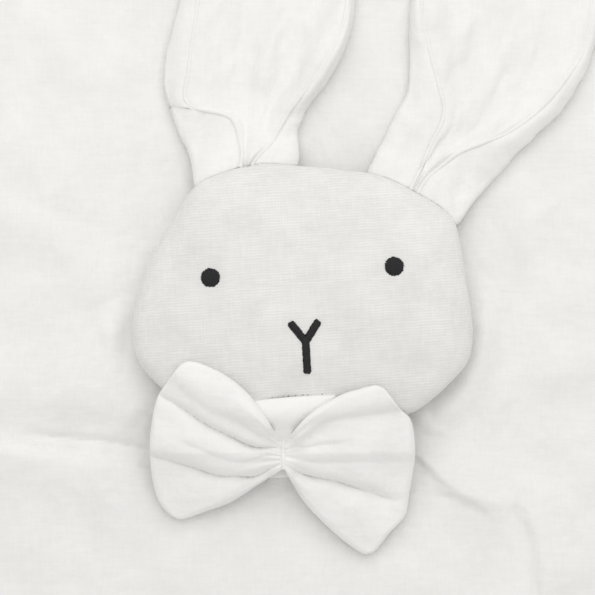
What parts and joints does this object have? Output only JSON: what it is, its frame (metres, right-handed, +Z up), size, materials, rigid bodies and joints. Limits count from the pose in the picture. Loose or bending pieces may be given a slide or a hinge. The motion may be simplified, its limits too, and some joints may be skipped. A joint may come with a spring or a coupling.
{
  "type": "comfort blanket lovey",
  "caption": "Rabbit comforter lying face up on its own muslin blanket: stuffed head, floppy ears and a bow at the neck.",
  "frame": {"origin": "on the table, under the middle of the spread blanket and the chin seam", "axes": "+X to the right, +Y from the neck towards the ears, +Z up from the table; the toy lies face up"},
  "size_m": [0.4, 0.4, 0.0278],
  "materials": {
    "gauze": "crinkled white double muslin",
    "face_cloth": "fine off-white plain weave",
    "thread": "black satin stitch",
    "filling": "white fibre filling"
  },
  "bodies": {
    "blanket": {"blanket_lower_cloth": "gauze", "blanket_upper_cloth": "gauze"},
    "neck_base": {"neck_base": "gauze"},
    "head": {"neck": "gauze", "neck_front_cloth": "gauze", "face_panel": "face_cloth", "head_back_panel": "gauze", "head_filling": "filling", "left_eye": "thread", "right_eye": "thread", "nose_mouth": "thread", "bow_gather": "gauze"},
    "left_ear": {"left_ear_outer": "gauze", "left_ear_lining": "gauze"},
    "right_ear": {"right_ear_outer": "gauze", "right_ear_lining": "gauze"},
    "bow_left": {"bow_left_front": "gauze", "bow_left_back": "gauze"},
    "bow_right": {"bow_right_front": "gauze", "bow_right_back": "gauze"}
  },
  "joints": [
    {"name": "neck_sway", "type": "hinge", "parent": "blanket", "child": "neck_base", "pos_m": [-0.0023, -0.02, 0], "axis": [0, 0, 1], "range_deg": [-12, 12]},
    {"name": "head_nod", "type": "hinge", "parent": "neck_base", "child": "head", "pos_m": [-0.00014, -0.02667, 0.0053], "axis": [0.9981, 0.061, 0], "range_deg": [0, 75], "deforming": ["bow_left_front", "bow_left_back", "bow_right_front", "bow_right_back"]},
    {"name": "left_ear_flop", "type": "hinge", "parent": "head", "child": "left_ear", "pos_m": [-0.01523, 0.07776, 0.01255], "axis": [0.9795, 0.2017, 0], "range_deg": [0, 100]},
    {"name": "right_ear_flop", "type": "hinge", "parent": "head", "child": "right_ear", "pos_m": [0.0419, 0.06914, 0.01255], "axis": [0.8774, -0.4797, 0], "range_deg": [0, 115]},
    {"name": "bow_left_lift", "type": "hinge", "parent": "head", "child": "bow_left", "pos_m": [-0.0045, -0.0173, 0.0168], "axis": [0, 0.9397, 0.342], "range_deg": [0, 45]},
    {"name": "bow_right_lift", "type": "hinge", "parent": "head", "child": "bow_right", "pos_m": [-0.0001, -0.0173, 0.0168], "axis": [0, -0.9397, -0.342], "range_deg": [0, 45]}
  ]
}
